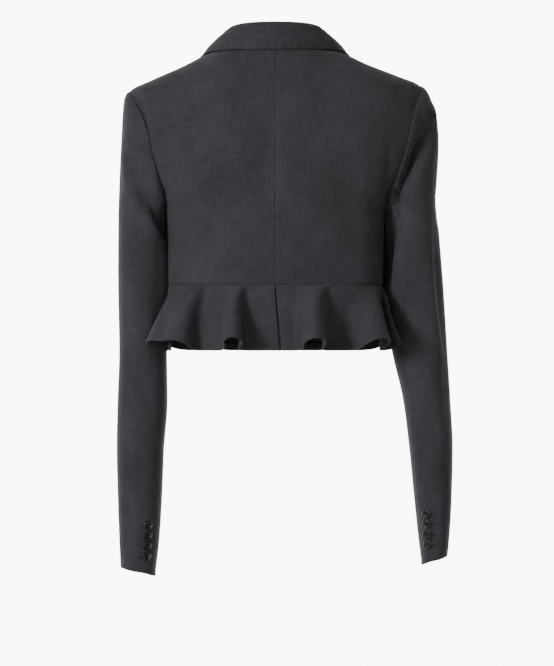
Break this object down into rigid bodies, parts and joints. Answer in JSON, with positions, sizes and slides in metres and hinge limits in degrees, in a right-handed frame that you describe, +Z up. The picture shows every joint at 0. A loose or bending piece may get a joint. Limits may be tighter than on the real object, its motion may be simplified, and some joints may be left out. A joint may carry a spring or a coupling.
{
  "type": "cropped blazer",
  "caption": "Cropped wool blazer with a notched collar, long two-piece sleeves, buttoned cuffs and a fluted peplum, in its worn hollow form, open at neck, hem and cuffs.",
  "frame": {"origin": "midway between the two neck points, where the wearer's shoulders carry the jacket", "axes": "+Z up, -Y the way the jacket faces, +X its left side"},
  "size_m": [0.4733, 0.2953, 0.7786],
  "materials": {
    "charcoal_wool": "dry matt worsted suiting with a soft sheen at grazing angles",
    "black_button": "polished, four-hole"
  },
  "bodies": {
    "root": {"back_left": "charcoal_wool", "back_right": "charcoal_wool", "front_left": "charcoal_wool", "front_right": "charcoal_wool", "lapel_left": "charcoal_wool", "lapel_right": "charcoal_wool", "collar": "charcoal_wool", "sleeve_upper_left_head": "charcoal_wool", "sleeve_upper_left_arm": "charcoal_wool", "sleeve_upper_left_forearm": "charcoal_wool", "sleeve_upper_right_head": "charcoal_wool", "sleeve_upper_right_arm": "charcoal_wool", "sleeve_upper_right_forearm": "charcoal_wool", "sleeve_under_left": "charcoal_wool", "sleeve_under_right": "charcoal_wool", "peplum_back_left": "charcoal_wool", "peplum_back_right": "charcoal_wool", "peplum_front_left": "charcoal_wool", "peplum_front_right": "charcoal_wool", "cuff_button_left_1": "black_button", "cuff_button_left_2": "black_button", "cuff_button_left_3": "black_button", "cuff_button_left_4": "black_button", "cuff_button_right_1": "black_button", "cuff_button_right_2": "black_button", "cuff_button_right_3": "black_button", "cuff_button_right_4": "black_button", "front_button": "black_button"}
  },
  "joints": []
}
